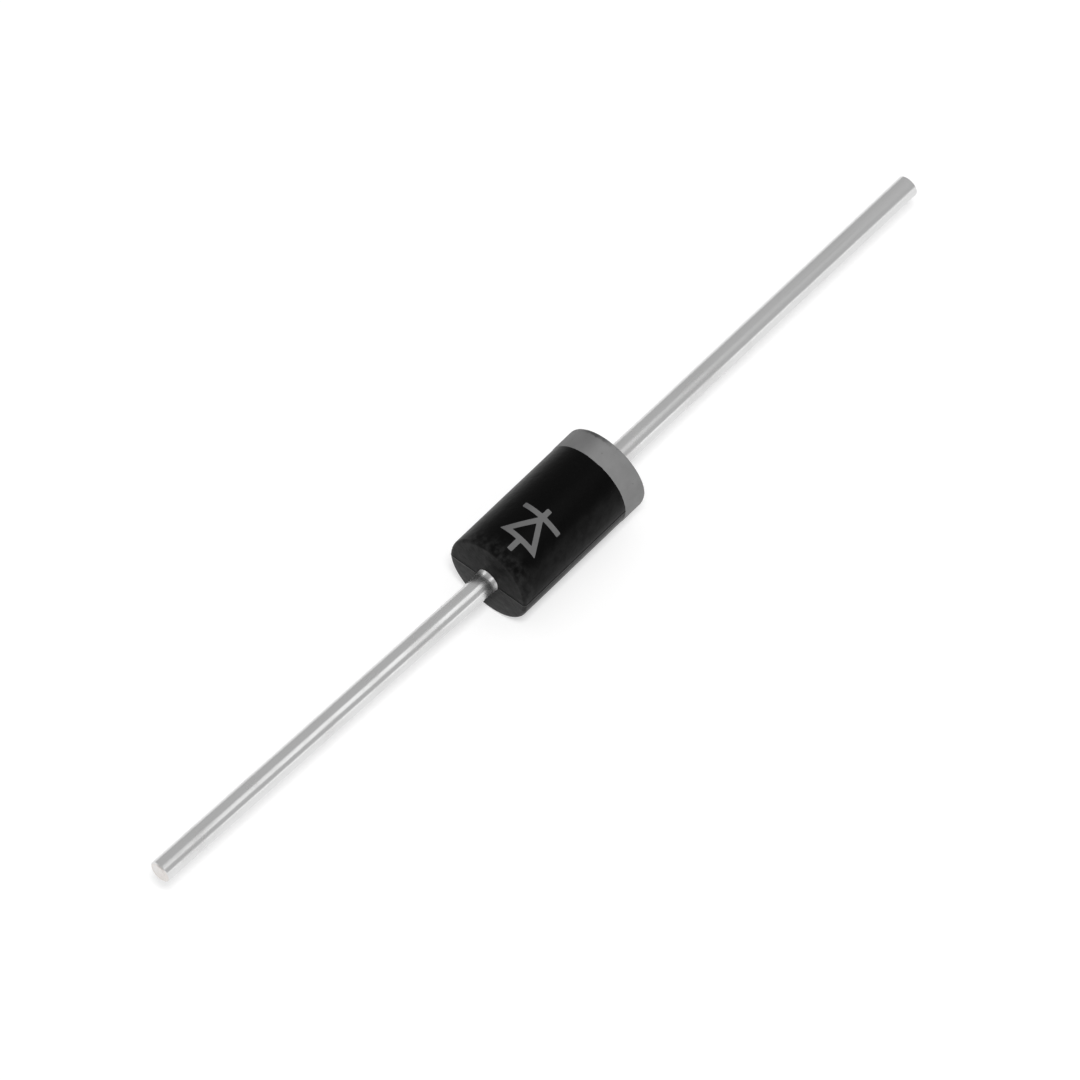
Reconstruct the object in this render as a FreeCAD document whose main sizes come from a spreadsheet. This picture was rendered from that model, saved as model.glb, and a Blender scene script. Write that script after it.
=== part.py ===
import FreeCAD, Part
import os
import Sketcher
from FreeCAD import Placement, Rotation, Vector

# Axial-lead rectifier diode: a moulded epoxy body round a silicon die that is soldered between the
# heads of two tinned copper leads. +X runs along the leads towards the cathode end, which carries
# the printed band, and +Z points up from the surface that the diode lies on. The origin is the
# middle of the body, on the axis of the leads. Millimetres.

FOLDER = "parts"

# Driving sizes. Angles are in degrees.
SIZES = {
    # moulded body
    "body_length": 9.5,
    "body_diameter": 5.1,
    "rim_radius": 0.18,
    "end_draft": 2.5,
    # leads
    "lead_diameter": 1.27,
    "lead_reach": 24.2,
    "tip_chamfer": 0.08,
    "head_diameter": 2.8,
    "head_thickness": 0.55,
    "head_cone": 0.35,
    # the slight bend of each lead, just outside the body
    "anode_bend": 2.0,
    "cathode_bend": 0.55,
    "bend_radius": 20.0,
    "bend_setback": 0.8,
    # silicon die and its solder
    "die_width": 2.1,
    "die_thickness": 0.26,
    "mesa_depth": 0.08,
    "mesa_width": 0.14,
    "solder_margin": 0.06,
    "solder_thickness": 0.06,
    # silicone coating round the junction
    "coating_cover": 0.2,
    "coating_lap": 0.3,
    "coating_edge": 0.15,
    # printed band and polarity mark
    "ink_thickness": 0.02,
    "band_width": 1.6,
    "mark_setback": 0.9,
    "mark_length": 3.2,
    "mark_height": 2.4,
    "triangle_length": 1.75,
    "mark_stroke": 0.3,
    "mark_angle": 16.0,
}

# Lengths that several pieces share, written as expressions on the sheet.
BODY_RADIUS = "Sizes.body_diameter / 2"
BODY_END = "Sizes.body_length / 2"
LEAD_RADIUS = "Sizes.lead_diameter / 2"
TIP_END = "(Sizes.body_length / 2 + Sizes.lead_reach)"
DIE_FACE = "Sizes.die_thickness / 2"
HEAD_FACE = "(Sizes.die_thickness / 2 + Sizes.solder_thickness)"
HEAD_BACK = "(Sizes.die_thickness / 2 + Sizes.solder_thickness + Sizes.head_thickness)"
# The flat top of the die, inside its mesa bevel, less a margin all round.
SOLDER_WIDTH = "(Sizes.die_width - 2 * Sizes.mesa_width - 2 * Sizes.solder_margin)"
COATING_RADIUS = "(max(Sizes.head_diameter; Sizes.die_width * sqrt(2)) / 2 + Sizes.coating_cover)"
COATING_END = "(Sizes.die_thickness / 2 + Sizes.solder_thickness + Sizes.coating_lap)"
# Where the round side of the body ends and the rounded rim begins, at the shortest side.
SIDE_END = (
    "(Sizes.body_length / 2 - Sizes.body_diameter / 2 * tan(Sizes.end_draft * 1 deg)"
    " - Sizes.rim_radius)"
)
INK_RADIUS = "(Sizes.body_diameter / 2 + Sizes.ink_thickness)"

START, END, CENTRE = 1, 2, 3
ORIGIN = (-1, 1)
TINY = 0.001
# How far the tools that cut the polarity mark stand out of the body.
MARK_TOOL_HEIGHT = "Sizes.body_diameter"


def make_sheet(doc):
    """The spreadsheet of driving sizes, one row for each, with the name as its alias."""
    sheet = doc.addObject("Spreadsheet::Sheet", "Sizes")
    for row, (name, value) in enumerate(SIZES.items(), start=1):
        sheet.set(f"A{row}", name)
        sheet.set(f"B{row}", str(value))
        sheet.setAlias(f"B{row}", name)
    doc.recompute()
    return sheet


def make_body(doc, name, label):
    body = doc.addObject("PartDesign::Body", name)
    body.Label = label
    return body


def origin_feature(body, role):
    """A plane or axis of the body's own origin, found by its role."""
    return next(feature for feature in body.Origin.OriginFeatures if feature.Role == role)


def make_sketch(body, name, role):
    """An empty sketch on one of the body's origin planes."""
    sketch = body.newObject("Sketcher::SketchObject", name)
    sketch.AttachmentSupport = [(origin_feature(body, role), "")]
    sketch.MapMode = "FlatFace"
    return sketch


def value_of(sketch, expression):
    value = sketch.evalExpression(expression)
    return float(getattr(value, "Value", value))


def drive(sketch, kind, name, places, expression):
    """A dimension with a name, bound to an expression on the sheet."""
    value = value_of(sketch, expression)
    index = sketch.addConstraint(Sketcher.Constraint(kind, *places, value))
    sketch.renameConstraint(index, name)
    sketch.setExpression(f"Constraints.{name}", expression)


def pin_point(sketch, name, place, x, y):
    """Holds a point of the sketch at x, y, each an expression or None for a coordinate of zero."""
    if x is None:
        sketch.addConstraint(Sketcher.Constraint("PointOnObject", *place, -2))
    else:
        drive(sketch, "DistanceX", f"{name}_x", (*ORIGIN, *place), x)
    if y is None:
        sketch.addConstraint(Sketcher.Constraint("PointOnObject", *place, -1))
    else:
        drive(sketch, "DistanceY", f"{name}_y", (*ORIGIN, *place), y)


def draw_outline(sketch, corners):
    """A closed outline of straight lines through named corners, given as {name: (x, y)}."""
    points = [
        Vector(
            0 if x is None else value_of(sketch, x),
            0 if y is None else value_of(sketch, y),
            0,
        )
        for x, y in corners.values()
    ]
    count = len(points)
    first = sketch.GeometryCount
    for i, point in enumerate(points):
        sketch.addGeometry(Part.LineSegment(point, points[(i + 1) % count]), False)
    for i in range(count):
        follows = first + (i + 1) % count
        sketch.addConstraint(
            Sketcher.Constraint("Coincident", first + i, END, follows, START)
        )
    for i, (name, (x, y)) in enumerate(corners.items()):
        pin_point(sketch, name, (first + i, START), x, y)


def revolve(body, sketch, name, angle=360):
    """Turns the sketch about the body's X axis, from +Y over +Z."""
    turned = body.newObject("PartDesign::Revolution", name)
    turned.Profile = sketch
    turned.ReferenceAxis = (origin_feature(body, "X_Axis"), [""])
    turned.Angle = angle
    return turned


def edge_names(shape, test):
    return [f"Edge{i}" for i, edge in enumerate(shape.Edges, start=1) if test(edge)]


def face_names(shape, test):
    return [f"Face{i}" for i, face in enumerate(shape.Faces, start=1) if test(face)]


def is_round(edge):
    return isinstance(edge.Curve, Part.Circle) and edge.isClosed()


def make_body_form(doc):
    """The outer form of the moulding. The mould opens along Z, so each end face leans in from the
    parting plane: the upper half is turned, drafted and rounded, then mirrored."""
    body = make_body(doc, "BodyForm", "body_form")
    sketch = make_sketch(body, "BodyProfile", "XY_Plane")
    draw_outline(
        sketch,
        {
            "anode_axis": (f"-({BODY_END})", None),
            "cathode_axis": (BODY_END, None),
            "cathode_rim": (BODY_END, BODY_RADIUS),
            "anode_rim": (f"-({BODY_END})", BODY_RADIUS),
        },
    )
    half = revolve(body, sketch, "UpperHalf", angle=180)
    doc.recompute()

    draft = body.newObject("PartDesign::Draft", "EndDraft")
    draft.Base = (half, face_names(half.Shape, lambda face: face.BoundBox.XLength < TINY))
    draft.NeutralPlane = (origin_feature(body, "XY_Plane"), [""])
    draft.setExpression("Angle", "Sizes.end_draft")
    doc.recompute()

    rims = edge_names(
        draft.Shape, lambda edge: edge.BoundBox.ZLength > edge.BoundBox.XLength + TINY
    )
    rounding = body.newObject("PartDesign::Fillet", "RimRounding")
    rounding.Base = (draft, rims)
    rounding.setExpression("Radius", "Sizes.rim_radius")
    doc.recompute()

    whole = body.newObject("PartDesign::Mirrored", "LowerHalf")
    whole.TransformMode = "Whole shape"
    whole.MirrorPlane = (origin_feature(body, "XY_Plane"), [""])
    body.Tip = whole
    return body


def draw_route(sketch, bend):
    """The wire's axis: straight out of the body, a slight arc towards -Y, straight to the tip."""
    start_x = f"{BODY_END} + Sizes.bend_setback"
    inner = Vector(value_of(sketch, HEAD_FACE), 0, 0)
    bend_start = Vector(value_of(sketch, start_x), 0, 0)
    radius = value_of(sketch, "Sizes.bend_radius")
    sine = value_of(sketch, f"sin({bend} * 1 deg)")
    cosine = value_of(sketch, f"cos({bend} * 1 deg)")
    bend_end = bend_start + Vector(radius * sine, radius * (cosine - 1), 0)
    bend_middle = bend_start + Vector(
        radius * value_of(sketch, f"sin({bend} * 0.5 deg)"),
        radius * (value_of(sketch, f"cos({bend} * 0.5 deg)") - 1),
        0,
    )
    tip_x = value_of(sketch, TIP_END)
    tip = Vector(tip_x, bend_end.y - (tip_x - bend_end.x) * sine / cosine, 0)

    # A sketch's arcs run anticlockwise, so this one starts at its end towards the tip.
    straight = sketch.addGeometry(Part.LineSegment(inner, bend_start), False)
    arc = sketch.addGeometry(Part.Arc(bend_end, bend_middle, bend_start), False)
    outer = sketch.addGeometry(Part.LineSegment(bend_end, tip), False)
    pin_point(sketch, "inner_end", (straight, START), HEAD_FACE, None)
    pin_point(sketch, "bend_start", (straight, END), start_x, None)
    sketch.addConstraint(Sketcher.Constraint("Tangent", straight, END, arc, END))
    sketch.addConstraint(Sketcher.Constraint("Tangent", arc, START, outer, START))
    drive(sketch, "Radius", "bend_radius", (arc,), "Sizes.bend_radius")
    fall = (
        f"Sizes.bend_radius * (1 - cos({bend} * 1 deg))"
        f" + (Sizes.lead_reach - Sizes.bend_setback - Sizes.bend_radius * sin({bend} * 1 deg))"
        f" * tan({bend} * 1 deg)"
    )
    pin_point(sketch, "tip", (outer, END), TIP_END, f"-({fall})")


def make_lead(doc, name, label, bend, turn):
    """A tinned wire with a head on its inner end. It is drawn along +X and bends towards -Y, then
    turned about Z to its own side of the die."""
    body = make_body(doc, name, label)
    route = make_sketch(body, "WireRoute", "XY_Plane")
    draw_route(route, bend)
    section = make_sketch(body, "WireSection", "YZ_Plane")
    section.setExpression("AttachmentOffset.Base.z", HEAD_FACE)
    doc.recompute()
    radius = value_of(section, LEAD_RADIUS)
    circle = section.addGeometry(Part.Circle(Vector(0, 0, 0), Vector(0, 0, 1), radius), False)
    section.addConstraint(Sketcher.Constraint("Coincident", circle, CENTRE, *ORIGIN))
    drive(section, "Radius", "wire_radius", (circle,), LEAD_RADIUS)
    wire = body.newObject("PartDesign::AdditivePipe", "Wire")
    wire.Profile = section
    wire.Spine = (route, [])

    profile = make_sketch(body, "HeadProfile", "XY_Plane")
    draw_outline(
        profile,
        {
            "face_axis": (HEAD_FACE, None),
            "face_edge": (HEAD_FACE, "Sizes.head_diameter / 2"),
            "back_edge": (HEAD_BACK, "Sizes.head_diameter / 2"),
            "cone_end": (f"{HEAD_BACK} + Sizes.head_cone", LEAD_RADIUS),
            "cone_axis": (f"{HEAD_BACK} + Sizes.head_cone", None),
        },
    )
    head = revolve(body, profile, "Head")
    doc.recompute()

    # The cut end of the wire is the round edge furthest out.
    tip_x = max(edge.Curve.Center.x for edge in head.Shape.Edges if is_round(edge))
    tips = edge_names(head.Shape, lambda edge: is_round(edge) and edge.Curve.Center.x > tip_x - TINY)
    chamfer = body.newObject("PartDesign::Chamfer", "TipChamfer")
    chamfer.Base = (head, tips)
    chamfer.setExpression("Size", "Sizes.tip_chamfer")
    body.Placement = Placement(Vector(0, 0, 0), Rotation(Vector(0, 0, 1), turn))
    doc.recompute()
    return body


def make_die(doc):
    """The square silicon chip. The edges of its anode face are etched back to a mesa."""
    body = make_body(doc, "SiliconDie", "silicon_die")
    sketch = make_sketch(body, "DieOutline", "YZ_Plane")
    half = "Sizes.die_width / 2"
    draw_outline(
        sketch,
        {
            "lower_right": (half, f"-{half}"),
            "upper_right": (half, half),
            "upper_left": (f"-{half}", half),
            "lower_left": (f"-{half}", f"-{half}"),
        },
    )
    slab = body.newObject("PartDesign::Pad", "Slab")
    slab.Profile = sketch
    slab.setExpression("Length", "Sizes.die_thickness")
    slab.Midplane = True
    doc.recompute()
    anode_side = slab.Shape.BoundBox.XMin
    anode_edges = edge_names(slab.Shape, lambda edge: edge.BoundBox.XMax < anode_side + TINY)
    mesa = body.newObject("PartDesign::Chamfer", "Mesa")
    mesa.Base = (slab, anode_edges)
    mesa.ChamferType = "Two distances"
    mesa.setExpression("Size", "Sizes.mesa_width")
    mesa.setExpression("Size2", "Sizes.mesa_depth")
    doc.recompute()
    return body


def make_solder(doc, name, label, start):
    """A round solder joint between the die and a lead's head, from the expression start in X."""
    joint = doc.addObject("Part::Cylinder", name)
    joint.Label = label
    joint.setExpression("Radius", f"{SOLDER_WIDTH} / 2")
    joint.setExpression("Height", "Sizes.solder_thickness")
    joint.Placement = Placement(Vector(0, 0, 0), Rotation(Vector(0, 1, 0), 90))
    joint.setExpression("Placement.Base.x", start)
    return joint


def make_coating_form(doc):
    """The outer form of the coating, a drop of silicone that laps over the rims of both heads."""
    body = make_body(doc, "CoatingForm", "coating_form")
    sketch = make_sketch(body, "CoatingProfile", "XY_Plane")
    draw_outline(
        sketch,
        {
            "anode_axis": (f"-{COATING_END}", None),
            "cathode_axis": (COATING_END, None),
            "cathode_edge": (COATING_END, COATING_RADIUS),
            "anode_edge": (f"-{COATING_END}", COATING_RADIUS),
        },
    )
    drop = revolve(body, sketch, "Drop")
    doc.recompute()
    rounding = body.newObject("PartDesign::Fillet", "DropRounding")
    rounding.Base = (drop, edge_names(drop.Shape, is_round))
    rounding.setExpression("Radius", "Sizes.coating_edge")
    doc.recompute()
    return body


def fuse(doc, name, shapes):
    joined = doc.addObject("Part::MultiFuse", name)
    joined.Shapes = shapes
    return joined


def cut(doc, name, label, base, tool):
    rest = doc.addObject("Part::Cut", name)
    rest.Label = label
    rest.Base = base
    rest.Tool = tool
    return rest


def make_skin(doc, name, label, start, end):
    """A skin of ink all round the straight side of the body, from start to end along X."""
    body = make_body(doc, name, label)
    sketch = make_sketch(body, "SkinProfile", "XY_Plane")
    draw_outline(
        sketch,
        {
            "inner_start": (start, BODY_RADIUS),
            "inner_end": (end, BODY_RADIUS),
            "outer_end": (end, INK_RADIUS),
            "outer_start": (start, INK_RADIUS),
        },
    )
    revolve(body, sketch, "Skin")
    return body


def make_band(doc):
    """The printed ring at the cathode end, up to where the rim begins to round."""
    return make_skin(
        doc, "CathodeBand", "cathode_band", f"{BODY_END} - Sizes.band_width", SIDE_END
    )


def draw_diode_symbol(sketch):
    """The standard symbol in outline, pointing to the cathode: stubs, a hollow triangle and a bar."""
    left = f"-({BODY_END}) + Sizes.mark_setback"
    right = f"{left} + Sizes.mark_length"
    middle = f"{left} + Sizes.mark_length / 2"
    base = f"{middle} - Sizes.triangle_length / 2"
    bar = f"{middle} + Sizes.triangle_length / 2"
    bar_end = f"{bar} + Sizes.mark_stroke"
    half = "Sizes.mark_height / 2"
    line = "Sizes.mark_stroke / 2"
    # The sloping sides meet the bar half a stroke above and below the middle line.
    draw_outline(
        sketch,
        {
            "stub_low": (left, f"-{line}"),
            "base_stub_low": (base, f"-{line}"),
            "base_low": (base, f"-({half})"),
            "point_low": (bar, f"-{line}"),
            "bar_left_low": (bar, f"-({half})"),
            "bar_right_low": (bar_end, f"-({half})"),
            "bar_stub_low": (bar_end, f"-{line}"),
            "end_low": (right, f"-{line}"),
            "end_high": (right, line),
            "bar_stub_high": (bar_end, line),
            "bar_right_high": (bar_end, half),
            "bar_left_high": (bar, half),
            "point_high": (bar, line),
            "base_high": (base, half),
            "base_stub_high": (base, line),
            "stub_high": (left, line),
        },
    )
    # The open inside of the triangle, a stroke in from each side.
    slope = f"(({half} - {line}) / Sizes.triangle_length)"
    stroke_up = f"(Sizes.mark_stroke * sqrt(1 + {slope} * {slope}))"
    inside = f"{base} + Sizes.mark_stroke"
    inside_half = f"({half} - {slope} * Sizes.mark_stroke - {stroke_up})"
    draw_outline(
        sketch,
        {
            "inside_low": (inside, f"-{inside_half}"),
            "inside_point": (f"{inside} + {inside_half} / {slope}", None),
            "inside_high": (inside, inside_half),
        },
    )


def make_mark(doc):
    """The symbol, cut out of a skin of ink round the body and turned to face the upper front."""
    body = make_body(doc, "MarkTool", "mark_tool")
    sketch = make_sketch(body, "MarkOutline", "XY_Plane")
    draw_diode_symbol(sketch)
    prism = body.newObject("PartDesign::Pad", "MarkPrism")
    prism.Profile = sketch
    prism.setExpression("Length", MARK_TOOL_HEIGHT)
    body.Placement = Placement(Vector(0, 0, 0), Rotation(Vector(1, 0, 0), 0))
    body.setExpression("Placement.Rotation.Angle", "Sizes.mark_angle * 1 deg")
    skin = make_skin(doc, "MarkSkin", "mark_skin", f"-({BODY_END})", BODY_END)
    mark = doc.addObject("Part::Common", "PolarityMark")
    mark.Label = "polarity_mark"
    mark.Base = skin
    mark.Tool = body
    return mark


def check(doc, pieces):
    """Stops the script if any object failed or any sub-part is not a valid solid."""
    failed = [obj.Name for obj in doc.Objects if {"Invalid", "Error"} & set(obj.State)]
    if failed:
        raise RuntimeError(f"these objects failed to build: {failed}")
    for piece in pieces:
        shape = piece.Shape
        if shape.isNull() or not shape.isValid() or not shape.Solids or shape.Volume <= 0:
            raise RuntimeError(f"{piece.Label} is not a valid solid")


def main():
    doc = FreeCAD.newDocument("RectifierDiode")
    make_sheet(doc)
    anode_lead = make_lead(doc, "AnodeLead", "anode_lead", "Sizes.anode_bend", 180)
    cathode_lead = make_lead(doc, "CathodeLead", "cathode_lead", "Sizes.cathode_bend", 0)
    die = make_die(doc)
    anode_solder = make_solder(doc, "AnodeSolder", "anode_solder", f"-{HEAD_FACE}")
    cathode_solder = make_solder(doc, "CathodeSolder", "cathode_solder", DIE_FACE)
    stack = fuse(
        doc,
        "ChipStack",
        [anode_lead, anode_solder, die, cathode_solder, cathode_lead],
    )
    coating_form = make_coating_form(doc)
    coating = cut(doc, "JunctionCoating", "junction_coating", coating_form, stack)
    body_form = make_body_form(doc)
    filling = fuse(doc, "BodyFilling", [stack, coating_form])
    moulded_body = cut(doc, "MouldedBody", "moulded_body", body_form, filling)
    band = make_band(doc)
    mark = make_mark(doc)
    doc.recompute()

    pieces = [
        moulded_body,
        anode_lead,
        cathode_lead,
        die,
        anode_solder,
        cathode_solder,
        coating,
        band,
        mark,
    ]
    check(doc, pieces)
    os.makedirs(FOLDER, exist_ok=True)
    for piece in pieces:
        piece.Shape.exportStep(os.path.join(FOLDER, f"{piece.Label}.step"))
        box = piece.Shape.BoundBox
        print(
            f"{piece.Label}: {len(piece.Shape.Solids)} solid(s), {piece.Shape.Volume:.4f} mm3,"
            f" {box.XLength:.3f} x {box.YLength:.3f} x {box.ZLength:.3f} mm"
        )


main()
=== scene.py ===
"""Rectifier diode: the moulded body, its two tinned leads and the printing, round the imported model.

Lengths in the model code are in millimetres and are scaled to metres once, when a piece is done.
+X runs along the leads to the cathode end, +Z is up, and the origin is the middle of the body.
"""
import math

import bmesh
import bpy
from mathutils import Matrix, Vector, noise


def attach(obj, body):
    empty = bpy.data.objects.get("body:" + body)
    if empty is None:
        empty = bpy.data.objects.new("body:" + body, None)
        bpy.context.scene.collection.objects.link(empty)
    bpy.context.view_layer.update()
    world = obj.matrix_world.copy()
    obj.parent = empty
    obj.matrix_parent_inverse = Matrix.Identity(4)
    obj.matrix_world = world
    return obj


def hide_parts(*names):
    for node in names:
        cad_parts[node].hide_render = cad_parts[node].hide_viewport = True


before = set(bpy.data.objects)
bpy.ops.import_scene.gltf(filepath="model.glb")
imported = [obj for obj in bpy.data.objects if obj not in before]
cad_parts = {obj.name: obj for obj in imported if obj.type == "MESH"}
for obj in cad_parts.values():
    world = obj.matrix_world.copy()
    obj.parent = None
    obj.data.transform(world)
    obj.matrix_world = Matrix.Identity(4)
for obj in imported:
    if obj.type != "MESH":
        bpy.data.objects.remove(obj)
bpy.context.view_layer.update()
MM = 0.001
# Points nearer than this, in millimetres, are one point
SAME_POINT = 1e-5

# Body
BODY_RADIUS = 2.55
BODY_END = 4.75
RIM_RADIUS = 0.18
END_DRAFT = math.radians(2.5)
ROUND_STEPS = 128
SHARP_ANGLE = math.radians(40)
# The seat in each end for the root of a lead
SEAT_DEPTH = 0.05
SEAT_GAP = 0.01
SEAT_FLARE = 0.02
# The ridge of flash on the parting line: how far it spreads each way, and how high it stands
RIDGE_REACH = 0.035
RIDGE_HEIGHT = 0.014
# Marks of the mould on the hidden sides: where the gate broke off, and where an ejector pushed
GATE_MIDDLE = -0.6
GATE_LENGTH = 1.3
GATE_HEIGHT = 0.42
GATE_DEPTH = 0.07
GATE_WALL = 0.015
STUB_MARGIN = 0.06
STUB_WALL = 0.01
STUB_HEIGHT = 0.04
STUB_ROUGHNESS = 0.018
EJECTOR_X = 1.6
EJECTOR_RADIUS = 0.6
# Leads
WIRE_RADIUS = 0.635
TIP_END = 28.95
TIP_CHAMFER = 0.08
TIP_HOLLOW = 0.03
HEAD_RADIUS = 1.4
HEAD_FACE = 0.19
HEAD_BACK = 0.74
HEAD_CONE = 0.35
BEND_START = 5.55
BEND_RADIUS = 20.0
ANODE_BEND = math.radians(2.0)
CATHODE_BEND = math.radians(0.55)
WIRE_STEPS = 64
# The tin that creeps out round a lead where it leaves the body
FILLET_START = BODY_END - 0.03
FILLET_LENGTH = 0.4
FILLET_HEIGHT = 0.085
# Printing
INK = 0.02
BAND_START = 3.15
MARK_START = -3.85
MARK_LENGTH = 3.2
MARK_HALF = 1.2
MARK_STROKE = 0.3
MARK_ROUNDING = 0.05
TRIANGLE_LENGTH = 1.75
MARK_ANGLE = math.radians(16)
# The floor that the diode lies on
FLOOR_HEIGHT = -2.572
FLOOR_REACH = 3000
# The camera: its bearing, its place along its own axes, and its focal length in the photo's pixels
CAMERA_AZIMUTH = math.radians(-49.35338)
CAMERA_ELEVATION = math.radians(54.81932)
CAMERA_RIGHT, CAMERA_UP, CAMERA_BACK = -0.39854, -0.86592, 486.905
SENSOR_WIDTH = 36.0
FOCAL_PIXELS, PHOTO_PIXELS = 9480.07, 1080

# ---- The shaders' arithmetic


class Amount:
    """A number that varies over a surface: a node's socket that takes Python's operators."""

    def __init__(self, finish, socket):
        self.finish = finish
        self.socket = socket

    def __add__(self, other):
        return self.finish.math("ADD", self, other)

    def __sub__(self, other):
        return self.finish.math("SUBTRACT", self, other)

    def __rsub__(self, other):
        return self.finish.math("SUBTRACT", other, self)

    def __mul__(self, other):
        return self.finish.math("MULTIPLY", self, other)

    def __abs__(self):
        return self.finish.math("ABSOLUTE", self)

    __radd__ = __add__
    __rmul__ = __mul__


class Finish:
    """A material and the nodes that vary it over the surface.

    Its coordinates are in millimetres.
    """

    def __init__(self, name, **constants):
        self.material = bpy.data.materials.new(name)
        self.material.use_nodes = True
        self.tree = self.material.node_tree
        self.shader = self.tree.nodes["Principled BSDF"]
        for socket, value in constants.items():
            self.shader.inputs[socket].default_value = value
        place = self.node("ShaderNodeTexCoord").outputs["Object"]
        self.place = self.scaled(place, (1 / MM, 1 / MM, 1 / MM))

    def node(self, kind, settings=None, inputs=None):
        """A node of any kind: its settings first, then the values or links of its sockets."""
        node = self.tree.nodes.new(kind)
        for name, value in (settings or {}).items():
            setattr(node, name, value)
        for name, value in (inputs or {}).items():
            self.feed(node.inputs[name], value)
        return node

    def feed(self, socket, value):
        """Gives a socket a link or a plain value."""
        if isinstance(value, Amount):
            value = value.socket
        if isinstance(value, bpy.types.NodeSocket):
            self.tree.links.new(value, socket)
        else:
            socket.default_value = value

    def math(self, operation, *values):
        """One step of arithmetic on amounts or plain numbers."""
        inputs = dict(enumerate(values))
        node = self.node("ShaderNodeMath", {"operation": operation}, inputs)
        return Amount(self, node.outputs[0])

    def scaled(self, place, scale):
        """A place with each of its coordinates multiplied."""
        node = self.node("ShaderNodeMapping", inputs={"Vector": place, "Scale": scale})
        return node.outputs["Vector"]

    def axis(self, letter):
        """One coordinate of the surface point, in millimetres."""
        node = self.node("ShaderNodeSeparateXYZ", inputs={"Vector": self.place})
        return Amount(self, node.outputs[letter])

    def radius(self):
        """How far the surface point is from the axis of the leads, in millimetres."""
        across = self.scaled(self.place, (0, 1, 1))
        node = self.node("ShaderNodeVectorMath", {"operation": "LENGTH"}, {0: across})
        return Amount(self, node.outputs["Value"])

    def distance(self, centre):
        """How far the surface point is from a place, in millimetres."""
        settings = {"operation": "DISTANCE"}
        node = self.node("ShaderNodeVectorMath", settings, {0: self.place, 1: centre})
        return Amount(self, node.outputs["Value"])

    def step(self, amount, start, end):
        """Rises smoothly from 0 to 1 while the amount goes from start to end."""
        settings = {"interpolation_type": "SMOOTHSTEP"}
        inputs = {"Value": amount, "From Min": start, "From Max": end}
        return Amount(self, self.node("ShaderNodeMapRange", settings, inputs).outputs["Result"])

    def blend(self, share, first, second):
        """A colour between two, by a share from 0 to 1."""
        # Inputs 0, 6 and 7 are the share and the colours, and output 2 is the colour between
        node = self.node("ShaderNodeMix", {"data_type": "RGBA"}, {0: share, 6: first, 7: second})
        return node.outputs[2]

    def speckle(self, per_mm, detail, stretch=(1, 1, 1)):
        """Noise from 0 to 1 with so many blobs to the millimetre."""
        place = self.place if stretch == (1, 1, 1) else self.scaled(self.place, stretch)
        inputs = {"Vector": place, "Scale": per_mm, "Detail": detail, "Roughness": 0.55}
        return Amount(self, self.node("ShaderNodeTexNoise", inputs=inputs).outputs[0])

    def paper(self, shade, glow):
        """A matt white that also glows, so that it shows white under plain light."""
        matt = self.node("ShaderNodeBsdfDiffuse", inputs={"Color": grey(shade)}).outputs[0]
        light = self.node("ShaderNodeEmission", inputs={"Strength": glow}).outputs[0]
        return self.node("ShaderNodeAddShader", inputs={0: matt, 1: light}).outputs[0]

    def either(self, share, first, second):
        """A surface between two, by a share from 0 to 1."""
        inputs = {0: share, 1: first, 2: second}
        return self.node("ShaderNodeMixShader", inputs=inputs).outputs[0]

    def emboss(self, height):
        """Raises the surface by a height in millimetres."""
        inputs = {"Strength": 1.0, "Distance": MM, "Height": height}
        bump = self.node("ShaderNodeBump", inputs=inputs)
        self.feed(self.shader.inputs["Normal"], bump.outputs[0])

    def coat(self, colour, roughness):
        """Gives the surface its colour and roughness."""
        self.feed(self.shader.inputs["Base Color"], colour)
        self.feed(self.shader.inputs["Roughness"], roughness)


def grey(value, warmth=0.0):
    """A grey in linear light, a little warmer or cooler."""
    return (value * (1 + warmth), value, value * (1 - warmth), 1.0)


# ---- Materials


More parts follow.
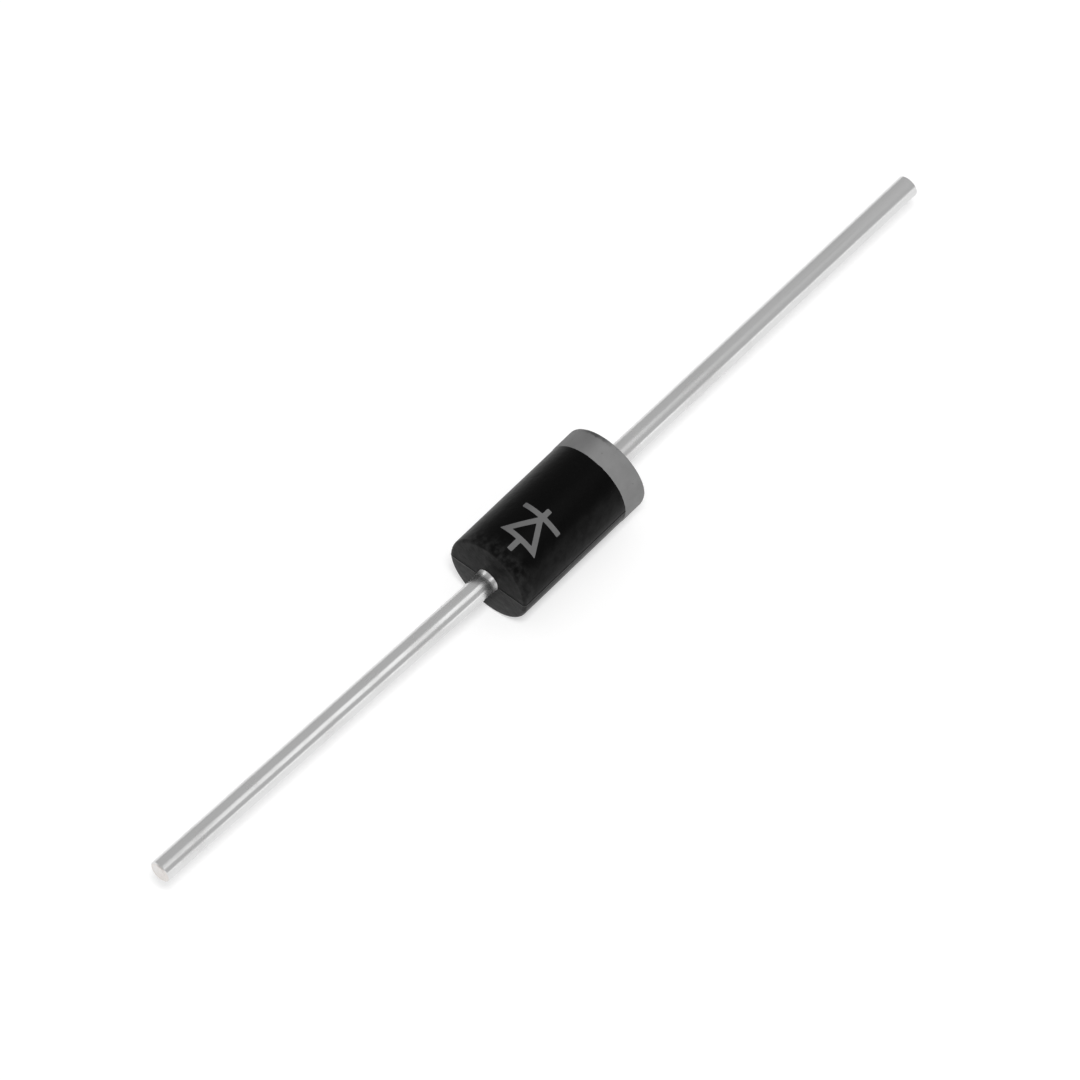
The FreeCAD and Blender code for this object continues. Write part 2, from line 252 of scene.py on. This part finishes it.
def moulding_finish():
    """Black filled epoxy: the mould's eroded grain and its marks, filler flecks, and wear.

    The rims are scuffed and carry a painted highlight, the ends are clouded, and the lower sides
    carry a painted reflection that makes them paler than the top.
    """
    finish = Finish("black_epoxy", IOR=1.17)
    grain = finish.speckle(9, detail=4)
    flow = finish.speckle(0.7, detail=2, stretch=(0.5, 1, 1))
    dimples = finish.speckle(2.6, detail=3)
    flecks = finish.step(finish.speckle(23, detail=1), 0.62, 0.72)
    along = abs(finish.axis("X"))
    end = finish.step(along, BODY_END - 0.5, BODY_END - 0.1)
    rim = finish.step(along, BODY_END - 1.5, BODY_END - 0.3)
    rim = rim * finish.step(finish.radius(), BODY_RADIUS - 0.6, BODY_RADIUS - 0.1)
    # Scuffed rims, painted brighter than wear alone, so that they also carry a painted highlight
    scuffs_and_painted_highlight = rim * finish.step(finish.speckle(2.6, detail=6), 0.36, 0.72)
    clouds = end * finish.speckle(2.2, detail=3)
    # Painted reflection: the sides below the top are painted paler, in patches, as if they mirrored
    # the floor
    painted_flank_reflection = finish.step(finish.axis("Z"), 1.95, 1.35)
    painted_flank_reflection = painted_flank_reflection * finish.step(finish.speckle(1.8, detail=5), 0.3, 0.65)
    from_gate = finish.distance((GATE_MIDDLE, BODY_RADIUS, 0))
    broken = finish.step(from_gate, GATE_LENGTH * 0.5, GATE_LENGTH * 0.42)
    broken = broken * finish.step(abs(finish.axis("Z")), GATE_HEIGHT * 0.46, GATE_HEIGHT * 0.4)
    from_ejector = finish.distance((EJECTOR_X, 0, -BODY_RADIUS))
    pushed = finish.step(from_ejector, EJECTOR_RADIUS + 0.02, EJECTOR_RADIUS - 0.02)
    witness = finish.step(abs(from_ejector - EJECTOR_RADIUS), 0.05, 0.01)
    colour = finish.blend(flow, grey(0.0002), grey(0.0009))
    # Painted reflection on the lower sides
    colour = finish.blend(painted_flank_reflection * 0.7, colour, grey(0.008))
    colour = finish.blend(flecks * 0.4, colour, grey(0.009))
    colour = finish.blend(finish.step(clouds, 0.35, 0.65) * 0.7, colour, grey(0.013))
    # Scuff wear and a painted rim highlight, in one paler grey
    colour = finish.blend(scuffs_and_painted_highlight * 0.7, colour, grey(0.024))
    colour = finish.blend(broken * (0.4 + grain), colour, grey(0.03))
    rough = 0.22 + 0.12 * grain + 0.1 * flow + 0.2 * broken - 0.12 * pushed
    finish.coat(colour, rough)
    marks = 0.008 * witness - 0.015 * pushed
    finish.emboss(0.0025 * grain + 0.015 * dimples + 0.01 * flow + marks)
    return finish.material


def tin_finish():
    """Tin on drawn copper wire: faint lines along it, soft ripples, and duller patches and roots.

    The sheared tips show a little of the copper.
    """
    finish = Finish("tinned_copper", Metallic=1.0)
    lines = finish.speckle(9, detail=3, stretch=(0.02, 1, 1))
    ripples = finish.speckle(0.8, detail=2, stretch=(0.6, 1, 1))
    patches = finish.speckle(0.55, detail=4, stretch=(0.5, 1, 1))
    dull = finish.step(patches, 0.45, 0.75)
    along = abs(finish.axis("X"))
    cut = finish.step(along, TIP_END - 0.06, TIP_END - 0.02)
    root = finish.step(along, BODY_END + 1.2 * FILLET_LENGTH, BODY_END)
    colour = finish.blend(dull, grey(0.76), grey(0.7, 0.004))
    colour = finish.blend(0.25 * finish.step(lines, 0.5, 0.8), colour, grey(0.65, 0.004))
    colour = finish.blend(0.4 * cut, colour, (0.74, 0.65, 0.59, 1.0))
    finish.coat(colour, 0.2 + 0.1 * dull + 0.04 * lines + 0.1 * root)
    finish.emboss(0.0012 * lines + 0.006 * ripples)
    return finish.material


def ink_finish(name, level):
    """Grey printed ink, slightly mottled, with pinholes over the grain.

    It has painted shade towards the +Y side, and is worn off in a ragged patch on the rim of the
    cathode end.
    """
    finish = Finish(name, IOR=1.35)
    grain = finish.speckle(11, detail=3)
    mottle = finish.speckle(1.4, detail=3)
    pinholes = finish.step(finish.speckle(7, detail=2), 0.7, 0.78)
    # Painted shade: the ink darkens towards +Y, the side turned away from the key lamp
    painted_shade_side = finish.step(finish.axis("Y"), -0.4, 0.8)
    ragged = finish.speckle(3.2, detail=5)
    across = finish.axis("Y") + ragged
    rim_patch = finish.step(across, -0.2, 0.9) * finish.step(across, 2.2, 1.3)
    along = finish.axis("X") + 0.3 * ragged
    rim_patch = rim_patch * finish.step(along, BODY_END - 0.27, BODY_END - 0.13)
    colour = finish.blend(mottle, grey(level * 0.86), grey(level * 1.14))
    # Painted shade on the +Y side
    colour = finish.blend(painted_shade_side * 0.24, colour, grey(0.0))
    colour = finish.blend(rim_patch * 0.7, colour, grey(0.025))
    colour = finish.blend(pinholes * 0.6, colour, grey(0.02))
    finish.coat(colour, 0.5 + 0.12 * grain)
    finish.emboss(0.004 * grain)
    return finish.material


def silicon_finish():
    """The etched chip: a dark polished face with a fine etch texture."""
    finish = Finish("etched_silicon", IOR=1.8)
    etch = finish.speckle(16, detail=3)
    colour = finish.blend(etch, (0.06, 0.065, 0.08, 1), (0.1, 0.105, 0.125, 1))
    finish.coat(colour, 0.18 + 0.2 * etch)
    finish.emboss(0.0015 * etch)
    return finish.material


def solder_finish():
    """Reflowed solder: bright, with grain boundaries and duller patches."""
    finish = Finish("reflowed_solder", Metallic=1.0)
    grains = finish.speckle(6, detail=4)
    finish.coat(finish.blend(grains, grey(0.38), grey(0.56)), 0.3 + 0.25 * grains)
    finish.emboss(0.003 * grains)
    return finish.material


def silicone_finish():
    """The cured junction coating: milky and glossy, with soft waves."""
    finish = Finish("junction_silicone", IOR=1.41)
    waves = finish.speckle(1.1, detail=2)
    colour = finish.blend(waves, (0.62, 0.6, 0.54, 1), (0.76, 0.74, 0.68, 1))
    finish.coat(colour, 0.16 + 0.14 * waves)
    finish.emboss(0.01 * waves)
    return finish.material


# ---- Pieces


def finished_piece(name, bm, material, node):
    """Makes a shape in millimetres an object of the part, in place of a node of the model."""
    bmesh.ops.remove_doubles(bm, verts=bm.verts, dist=SAME_POINT)
    bmesh.ops.recalc_face_normals(bm, faces=bm.faces)
    bmesh.ops.scale(bm, vec=(MM, MM, MM), verts=bm.verts)
    mesh = bpy.data.meshes.new(name)
    bm.to_mesh(mesh)
    bm.free()
    mesh.shade_smooth()
    mesh.set_sharp_from_angle(angle=SHARP_ANGLE)
    mesh.materials.append(material)
    piece = bpy.data.objects.new(name, mesh)
    bpy.context.scene.collection.objects.link(piece)
    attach(piece, "root")
    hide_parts(node)


def only(kind, items):
    """The items of one kind, such as the edges, from all that an operator returns."""
    return [item for item in items if isinstance(item, kind)]


def cut_across(bm, place, normal):
    """Cuts the edges of a plane into a shape, and keeps both sides of it."""
    bmesh.ops.bisect_plane(
        bm,
        geom=bm.verts[:] + bm.edges[:] + bm.faces[:],
        dist=SAME_POINT,
        plane_co=place,
        plane_no=normal,
    )


def round_corners(bm, corners, radius, segments):
    bmesh.ops.bevel(
        bm,
        geom=corners,
        offset=radius,
        segments=segments,
        profile=0.5,
        affect="VERTICES",
        material=-1,
    )


def turned(profile, rounding, steps):
    """Turns a line of (x, radius) points about X, with the corners at the given places rounded."""
    bm = bmesh.new()
    corners = [bm.verts.new((x, 0, radius)) for x, radius in profile]
    for pair in zip(corners, corners[1:]):
        bm.edges.new(pair)
    for place, radius in rounding.items():
        round_corners(bm, [corners[place]], radius, 5)
    bmesh.ops.spin(
        bm,
        geom=bm.verts[:] + bm.edges[:],
        cent=(0, 0, 0),
        axis=(1, 0, 0),
        angle=math.tau,
        steps=steps,
        use_merge=True,
    )
    bmesh.ops.remove_doubles(bm, verts=bm.verts, dist=SAME_POINT)
    return bm


def lean_ends(bm):
    """Leans the end faces in from the parting plane, as the mould's draft does."""
    for vert in bm.verts:
        if abs(vert.co.x) > BODY_END - 2 * RIM_RADIUS:
            vert.co.x -= math.copysign(abs(vert.co.z) * math.tan(END_DRAFT), vert.co.x)


def raise_parting_line(bm):
    """The thin ridge of flash where the halves of the mould meet, round the sides and the ends."""
    for level in (-RIDGE_REACH, 0, RIDGE_REACH):
        cut_across(bm, (0, 0, level), (0, 0, 1))
    for vert in bm.verts:
        on_parting_plane = abs(vert.co.z) < 10 * SAME_POINT
        if on_parting_plane and math.hypot(vert.co.y, vert.co.z) > WIRE_RADIUS:
            outward = Vector((vert.normal.x, vert.normal.y, 0))
            vert.co += outward.normalized() * RIDGE_HEIGHT


def sink_gate(bm):
    """The recess in the parting line on the hidden side, with the stub of the runner in it."""
    first = GATE_MIDDLE - GATE_LENGTH / 2
    steps = 12
    cuts = [((first + GATE_LENGTH * step / steps, 0, 0), (1, 0, 0)) for step in range(steps + 1)]
    cuts += [((0, 0, side * GATE_HEIGHT / 2), (0, 0, 1)) for side in (-1, 1)]
    for place, normal in cuts:
        cut_across(bm, place, normal)
    patch = []
    for face in bm.faces:
        centre = face.calc_center_median() - Vector((GATE_MIDDLE, 0, 0))
        if abs(centre.x) < GATE_LENGTH / 2 and abs(centre.z) < GATE_HEIGHT / 2 and centre.y > 0:
            patch.append(face)
    for inset, rise in ((GATE_WALL, -GATE_DEPTH), (STUB_MARGIN, 0), (STUB_WALL, STUB_HEIGHT)):
        bmesh.ops.inset_region(bm, faces=patch, thickness=inset, depth=rise, use_even_offset=True)
    stub = {vert for face in patch for vert in face.verts}
    for vert in stub:
        vert.co.y += STUB_ROUGHNESS * noise.noise(vert.co * 7.0)


def make_body():
    """The moulding: the turned shape with its seats, draft, parting line and gate."""
    seat_radius = WIRE_RADIUS + SEAT_GAP
    half = [
        (BODY_END - SEAT_DEPTH, 0),
        (BODY_END - SEAT_DEPTH, seat_radius),
        (BODY_END, seat_radius + SEAT_FLARE),
        (BODY_END, BODY_RADIUS),
    ]
    profile = [(-x, radius) for x, radius in half] + half[::-1]
    rim = len(half) - 1
    bm = turned(profile, {rim: RIM_RADIUS, rim + 1: RIM_RADIUS}, ROUND_STEPS)
    lean_ends(bm)
    bmesh.ops.recalc_face_normals(bm, faces=bm.faces)
    bm.normal_update()
    raise_parting_line(bm)
    sink_gate(bm)
    finished_piece("moulding", bm, moulding_finish(), "moulded_body")


def carry_on(bm, ring, move, scale=1.0, about=(0, 0, 0)):
    """Draws a ring of edges on by a move, scaled about a point, and returns the new ring."""
    geom = bmesh.ops.extrude_edge_only(bm, edges=ring)["geom"]
    verts = only(bmesh.types.BMVert, geom)
    moved = set(verts)
    bmesh.ops.scale(
        bm, vec=(scale, scale, scale), space=Matrix.Translation(-Vector(about)), verts=verts
    )
    bmesh.ops.translate(bm, vec=move, verts=verts)
    return [edge for edge in only(bmesh.types.BMEdge, geom) if set(edge.verts) <= moved]


def make_lead(name, node, bend, turn, tin):
    """A wire with a head inside the body, a fillet of tin at its root, a bend and a sheared tip."""
    profile = [
        (HEAD_FACE, 0),
        (HEAD_FACE, HEAD_RADIUS),
        (HEAD_BACK, HEAD_RADIUS),
        (HEAD_BACK + HEAD_CONE, WIRE_RADIUS),
        (FILLET_START, WIRE_RADIUS),
        (FILLET_START, WIRE_RADIUS + FILLET_HEIGHT),
    ]
    fillet_steps = 8
    for step in range(1, fillet_steps + 1):
        share = step / fillet_steps
        height = FILLET_HEIGHT * (1 - share) ** 2
        profile.append((FILLET_START + FILLET_LENGTH * share, WIRE_RADIUS + height))
    profile.append((BEND_START, WIRE_RADIUS))
    bm = turned(profile, {}, WIRE_STEPS)
    # The fillet is uneven round the lead, and stands highest on top
    for vert in bm.verts:
        outward = Vector((0, vert.co.y, vert.co.z))
        if vert.co.x > FILLET_START - 0.01 and outward.length > WIRE_RADIUS:
            share = 0.6 + 0.5 * noise.noise(outward * 2.0) + 0.3 * outward.z / outward.length
            vert.co -= outward.normalized() * (outward.length - WIRE_RADIUS) * (1 - share)
    ring = [edge for edge in bm.edges if edge.is_boundary]
    last = bmesh.ops.spin(
        bm,
        geom=ring,
        cent=(BEND_START, -BEND_RADIUS, 0),
        axis=(0, 0, -1),
        angle=bend,
        steps=4,
    )["geom_last"]
    ring = only(bmesh.types.BMEdge, last)
    ahead = Vector((math.cos(bend), -math.sin(bend), 0))
    bend_end = Vector((BEND_START, -BEND_RADIUS, 0)) + BEND_RADIUS * Vector(
        (math.sin(bend), math.cos(bend), 0)
    )
    reach = (TIP_END - bend_end.x) / ahead.x - TIP_CHAMFER
    pieces = 12
    for _ in range(pieces):
        ring = carry_on(bm, ring, ahead * (reach / pieces))
    tip = bend_end + ahead * reach
    smaller = 1 - TIP_CHAMFER / WIRE_RADIUS
    for share, scale in ((0.4, (1 + smaller) / 2), (0.6, smaller)):
        ring = carry_on(bm, ring, ahead * TIP_CHAMFER * share, scale, tip)
        tip += ahead * TIP_CHAMFER * share
    ring = carry_on(bm, ring, -ahead * TIP_HOLLOW, 0.8, tip)
    bmesh.ops.contextual_create(bm, geom=ring)
    bmesh.ops.rotate(bm, matrix=Matrix.Rotation(turn, 3, "Z"), verts=bm.verts)
    finished_piece(name, bm, tin, node)


def make_band():
    """The printed ring, with a slightly uneven edge, which laps over the rim at the cathode end."""
    outside = BODY_RADIUS + INK
    lap = BODY_RADIUS - RIM_RADIUS
    feathered_edge = [
        (BAND_START, BODY_RADIUS - 0.01),
        (BAND_START + 0.03, BODY_RADIUS + INK * 0.7),
        (BAND_START + 0.1, outside),
    ]
    round_the_rim = [
        (BODY_END + INK, outside),
        (BODY_END + INK, lap),
        (BODY_END - 0.02, lap - 0.03),
    ]
    inside_the_moulding = [(BODY_END - 0.1, lap), (BAND_START, lap), feathered_edge[0]]
    rim = len(feathered_edge)
    profile = feathered_edge + round_the_rim + inside_the_moulding
    bm = turned(profile, {rim: RIM_RADIUS}, 2 * ROUND_STEPS)
    lean_ends(bm)
    for vert in bm.verts:
        if vert.co.x < BAND_START + 0.2:
            spot = Vector((0, vert.co.y, vert.co.z))
            vert.co.x += 0.025 * noise.noise(spot * 1.1) + 0.012 * noise.noise(spot * 5.0)
    ink = ink_finish("band_ink", 0.225)
    finished_piece("printed_band", bm, ink, "cathode_band")


def make_symbol():
    """The diode symbol in outline: stubs, a hollow triangle and a bar, laid on the round side."""
    line = MARK_STROKE / 2
    base = MARK_START + (MARK_LENGTH - TRIANGLE_LENGTH) / 2
    bar = base + TRIANGLE_LENGTH
    slope = (MARK_HALF - line) / TRIANGLE_LENGTH
    inside_half = MARK_HALF - slope * MARK_STROKE - MARK_STROKE * math.hypot(1, slope)
    upper = [
        (MARK_START, line),
        (base, line),
        (base, MARK_HALF),
        (bar, line),
        (bar, MARK_HALF),
        (bar + MARK_STROKE, MARK_HALF),
        (bar + MARK_STROKE, line),
        (MARK_START + MARK_LENGTH, line),
    ]
    outline = upper + [(x, -y) for x, y in upper[::-1]]
    inside = base + MARK_STROKE
    hole = [
        (inside, inside_half),
        (inside, -inside_half),
        (inside + inside_half / slope, 0),
    ]
    bm = bmesh.new()
    for loop in (outline, hole):
        corners = [bm.verts.new((x, y, 0)) for x, y in loop]
        for pair in zip(corners, corners[1:] + corners[:1]):
            bm.edges.new(pair)
    round_corners(bm, bm.verts[:], MARK_ROUNDING, 3)
    bmesh.ops.triangle_fill(bm, use_beauty=True, edges=bm.edges[:])
    # Strips narrow enough to follow the round side
    strip_width = 0.1
    strips = round(MARK_HALF / strip_width)
    for step in range(-strips, strips + 1):
        cut_across(bm, (0, step * strip_width, 0), (0, 1, 0))
    bmesh.ops.recalc_face_normals(bm, faces=bm.faces)
    if sum(face.normal.z for face in bm.faces) <= 0:
        bmesh.ops.reverse_faces(bm, faces=bm.faces)
    top = bmesh.ops.extrude_face_region(bm, geom=bm.faces[:], use_keep_orig=True)["geom"]
    bmesh.ops.translate(bm, vec=(0, 0, 2 * INK), verts=only(bmesh.types.BMVert, top))
    for vert in bm.verts:
        radius = BODY_RADIUS - INK + vert.co.z
        vert.co.z = math.sqrt(radius**2 - vert.co.y**2)
    bmesh.ops.rotate(bm, matrix=Matrix.Rotation(MARK_ANGLE, 3, "X"), verts=bm.verts)
    ink = ink_finish("symbol_ink", 0.14)
    finished_piece("printed_symbol", bm, ink, "polarity_mark")


def dress_inner_nodes():
    """Finishes for the parts inside the moulding, which keep the model's own shapes."""
    solder = solder_finish()
    finishes = {
        "silicon_die": silicon_finish(),
        "anode_solder": solder,
        "cathode_solder": solder,
        "junction_coating": silicone_finish(),
    }
    for name, material in finishes.items():
        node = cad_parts[name]
        node.data.materials.clear()
        node.data.materials.append(material)


# ---- Floor, light and camera


def make_floor():
    """A large pale floor that shows white, with the part's shadow on it."""
    bm = bmesh.new()
    bmesh.ops.create_grid(bm, x_segments=1, y_segments=1, size=FLOOR_REACH * MM)
    bmesh.ops.translate(bm, vec=(0, 0, FLOOR_HEIGHT * MM), verts=bm.verts)
    mesh = bpy.data.meshes.new("floor")
    bm.to_mesh(mesh)
    bm.free()
    # Matt for the light that falls on it, brighter where the gloss mirrors it, white when seen
    finish = Finish("pale_floor")
    path = finish.node("ShaderNodeLightPath").outputs
    mirrored = Amount(finish, path["Is Glossy Ray"]) + Amount(finish, path["Is Transmission Ray"])
    surface = finish.paper(0.8, 0.0)
    surface = finish.either(mirrored, surface, finish.paper(0.8, 0.22))
    surface = finish.either(path["Is Camera Ray"], surface, finish.paper(0.6, 0.5))
    output = finish.tree.nodes["Material Output"]
    finish.feed(output.inputs["Surface"], surface)
    mesh.materials.append(finish.material)
    floor = bpy.data.objects.new("floor", mesh)
    bpy.context.scene.collection.objects.link(floor)


def make_lamp(name, place, size, radiance, mirrored=True, facing=False):
    """A flat lamp, or a panel that only mirrored rays see. Lengths are in millimetres.

    It faces straight down, or else the diode.
    """
    data = bpy.data.lights.new(name, "AREA")
    data.shape = "RECTANGLE"
    data.size = size[0] * MM
    data.size_y = size[1] * MM
    data.energy = radiance * math.pi * data.size * data.size_y
    lamp = bpy.data.objects.new(name, data)
    lamp.location = Vector(place) * MM
    lamp.visible_glossy = mirrored
    lamp.visible_diffuse = not mirrored
    if facing:
        lamp.rotation_euler = lamp.location.to_track_quat("Z", "Y").to_euler()
    bpy.context.scene.collection.objects.link(lamp)


def make_light():
    """A pale grey room, a soft lamp overhead, and pale panels round it for the gloss to show."""
    world = bpy.data.worlds.new("studio")
    world.use_nodes = True
    world.node_tree.nodes["Background"].inputs["Color"].default_value = grey(0.52)
    bpy.context.scene.world = world
    make_lamp("key", (-320, -340, 1010), (232, 232), 38.0, mirrored=False)
    make_lamp("near_panel", (47, -52, 131), (42, 96), 0.76)
    make_lamp("front_panel", (-35, -310, 390), (190, 100), 2.4)
    make_lamp("back_panel", (-35, 330, 390), (190, 100), 2.4)
    make_lamp("right_panel", (460, 0, 390), (80, 500), 2.4)
    make_lamp("left_panel", (-460, 170, 390), (80, 300), 0.9)
    make_lamp("standing_panel", (222, -528, 62), (180, 118), 0.82, facing=True)


def make_camera():
    """A long lens, high at the front left, with the whole of both leads in its frame."""
    back = Vector(
        (
            math.sin(CAMERA_AZIMUTH) * math.cos(CAMERA_ELEVATION),
            -math.cos(CAMERA_AZIMUTH) * math.cos(CAMERA_ELEVATION),
            math.sin(CAMERA_ELEVATION),
        )
    )
    right = Vector((math.cos(CAMERA_AZIMUTH), math.sin(CAMERA_AZIMUTH), 0))
    up = back.cross(right)
    data = bpy.data.cameras.new("photo_camera")
    data.sensor_width = SENSOR_WIDTH
    data.lens = SENSOR_WIDTH * FOCAL_PIXELS / PHOTO_PIXELS
    data.clip_start = 0.01
    data.clip_end = 20.0
    camera = bpy.data.objects.new("photo_camera", data)
    turn = Matrix((right, up, back)).transposed()
    place = (right * CAMERA_RIGHT + up * CAMERA_UP + back * CAMERA_BACK) * MM
    camera.matrix_world = Matrix.Translation(place) @ turn.to_4x4()
    bpy.context.scene.collection.objects.link(camera)
    bpy.context.scene.camera = camera


make_camera()
tin = tin_finish()
make_body()
make_lead("anode_wire", "anode_lead", ANODE_BEND, math.pi, tin)
make_lead("cathode_wire", "cathode_lead", CATHODE_BEND, 0, tin)
make_band()
make_symbol()
dress_inner_nodes()
make_floor()
make_light()
bpy.context.scene.view_settings.view_transform = "Standard"

bpy.context.view_layer.update()
